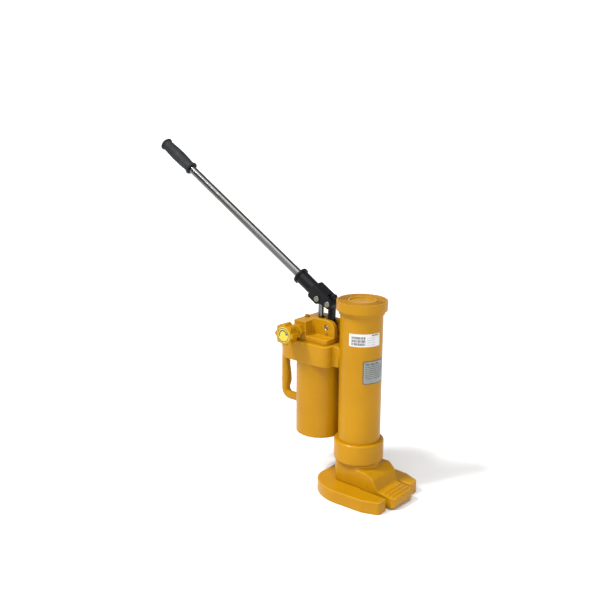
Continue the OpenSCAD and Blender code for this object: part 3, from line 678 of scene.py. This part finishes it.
# Frame nodes that keep their shape -------------------------------------------------------------------

def finish_cad_nodes():
    """Gives every CAD node still on show its finish."""
    for node, piece in frame["nodes"].items():
        if piece.hide_render:
            continue
        piece.data.materials.clear()
        piece.data.materials.append(FINISHES[SLOT_OF[node]])


# Stage ----------------------------------------------------------------------------------------------

def photo_camera():
    """A camera in front of the object, to its right and above it; angles in degrees."""
    heading, tilt, roll = 40.482, 75.393, 0.378
    data = bpy.data.cameras.new("camera")
    data.lens = 52.55
    data.clip_start, data.clip_end = 0.05, 100
    camera = bpy.data.objects.new("camera", data)
    bpy.context.scene.collection.objects.link(camera)
    camera.matrix_world = (
        Matrix.Translation((0.90227, -1.22921, 0.76507))
        @ Matrix.Rotation(math.radians(heading), 4, "Z")
        @ Matrix.Rotation(math.radians(tilt), 4, "X")
        @ Matrix.Rotation(math.radians(roll), 4, "Z")
    )
    bpy.context.scene.camera = camera


def area_light(name, power, size, azimuth, elevation, distance, aim):
    """A softbox seen from the aim point at an azimuth and elevation in degrees."""
    data = bpy.data.lights.new(name, "AREA")
    data.shape = "RECTANGLE"
    data.size, data.size_y = size
    data.energy = power
    light = bpy.data.objects.new(name, data)
    bpy.context.scene.collection.objects.link(light)
    turn, rise = math.radians(azimuth), math.radians(elevation)
    toward = Vector((math.cos(turn) * math.cos(rise), math.sin(turn) * math.cos(rise), math.sin(rise)))
    light.location = aim + toward * distance
    light.rotation_euler = (-toward).to_track_quat("-Z", "Y").to_euler()


def floor():
    """A wide pale floor under the object."""
    size, cells = 30.0, 12
    step = 2 * size / cells
    verts = [(-size + i * step, -size + j * step, 0) for j in range(cells + 1) for i in range(cells + 1)]
    row = cells + 1
    faces = [
        (j * row + i, j * row + i + 1, (j + 1) * row + i + 1, (j + 1) * row + i)
        for j in range(cells) for i in range(cells)
    ]
    mesh = mesh_from("floor", verts, faces)
    made = Finish("floor", Specular_IOR_Level=0.1)
    made.colour(made.blend(made.noise(2.5, 3), (0.93, 0.93, 0.93), (0.91, 0.91, 0.91)))
    made.roughness(made.span(made.noise(6), 0.3, 0.7, 0.6, 0.75))
    mesh.materials.append(made.material)
    ground = bpy.data.objects.new("floor", mesh)
    ground.location.z = cad_box[0].z - 0.0004
    bpy.context.scene.collection.objects.link(ground)


def sun(name, strength, azimuth, elevation, spread):
    """A broad even light from an azimuth and elevation in degrees, with soft shadows."""
    data = bpy.data.lights.new(name, "SUN")
    data.energy = strength
    data.angle = math.radians(spread)
    light = bpy.data.objects.new(name, data)
    bpy.context.scene.collection.objects.link(light)
    light.rotation_euler = (0, math.radians(90 - elevation), math.radians(azimuth))


def sky():
    """A studio surround: white behind the object, darker overhead and behind the camera."""
    world = bpy.data.worlds.new("studio")
    bpy.context.scene.world = world
    world.use_nodes = True
    nodes, links = world.node_tree.nodes, world.node_tree.links
    background = nodes["Background"]
    background.inputs["Color"].default_value = (1, 1, 1, 1)
    direction = nodes.new("ShaderNodeTexCoord").outputs["Generated"]

    def fade(value, numbers):
        node = nodes.new("ShaderNodeMapRange")
        for socket, number in zip(("From Min", "From Max", "To Min", "To Max"), numbers):
            node.inputs[socket].default_value = number
        links.new(value, node.inputs["Value"])
        return node.outputs["Result"]

    split = nodes.new("ShaderNodeSeparateXYZ")
    links.new(direction, split.inputs[0])
    beyond = nodes.new("ShaderNodeVectorMath")
    beyond.operation = "DOT_PRODUCT"
    links.new(direction, beyond.inputs[0])
    beyond.inputs[1].default_value = (-0.65, 0.76, 0)
    product = nodes.new("ShaderNodeMath")
    product.operation = "MULTIPLY"
    links.new(fade(split.outputs["Z"], (0.1, 0.35, 1.05, 0.35)), product.inputs[0])
    links.new(fade(beyond.outputs["Value"], (-0.3, 0.5, 0.3, 1)), product.inputs[1])
    links.new(product.outputs[0], background.inputs["Strength"])


def studio():
    """A broad light from above, a narrower one from the left and two soft boxes."""
    bpy.context.scene.view_settings.view_transform = "Standard"
    sky()
    sun("broad_light", 1.9, -64, 68, 50)
    sun("window_light", 2.7, -119, 54, 11)
    aim = Vector((-0.03, 0, 0.22))
    area_light("key", 4, (0.7, 1.2), -112, 30, 1.9, aim)
    area_light("front", 14, (0.4, 1.2), -34, 25, 2.2, aim)


photo_camera()
studio()
floor()
castings()
toe_ribs()
web_fillets()
head_cap()
collar()
tank_bottom()
grip()
headed_pin("plunger_pivot", "plunger_pin")
headed_pin("link_pivot", "link_pin")
lug_pivot()
knob_face()
column_labels()
finish_cad_nodes()
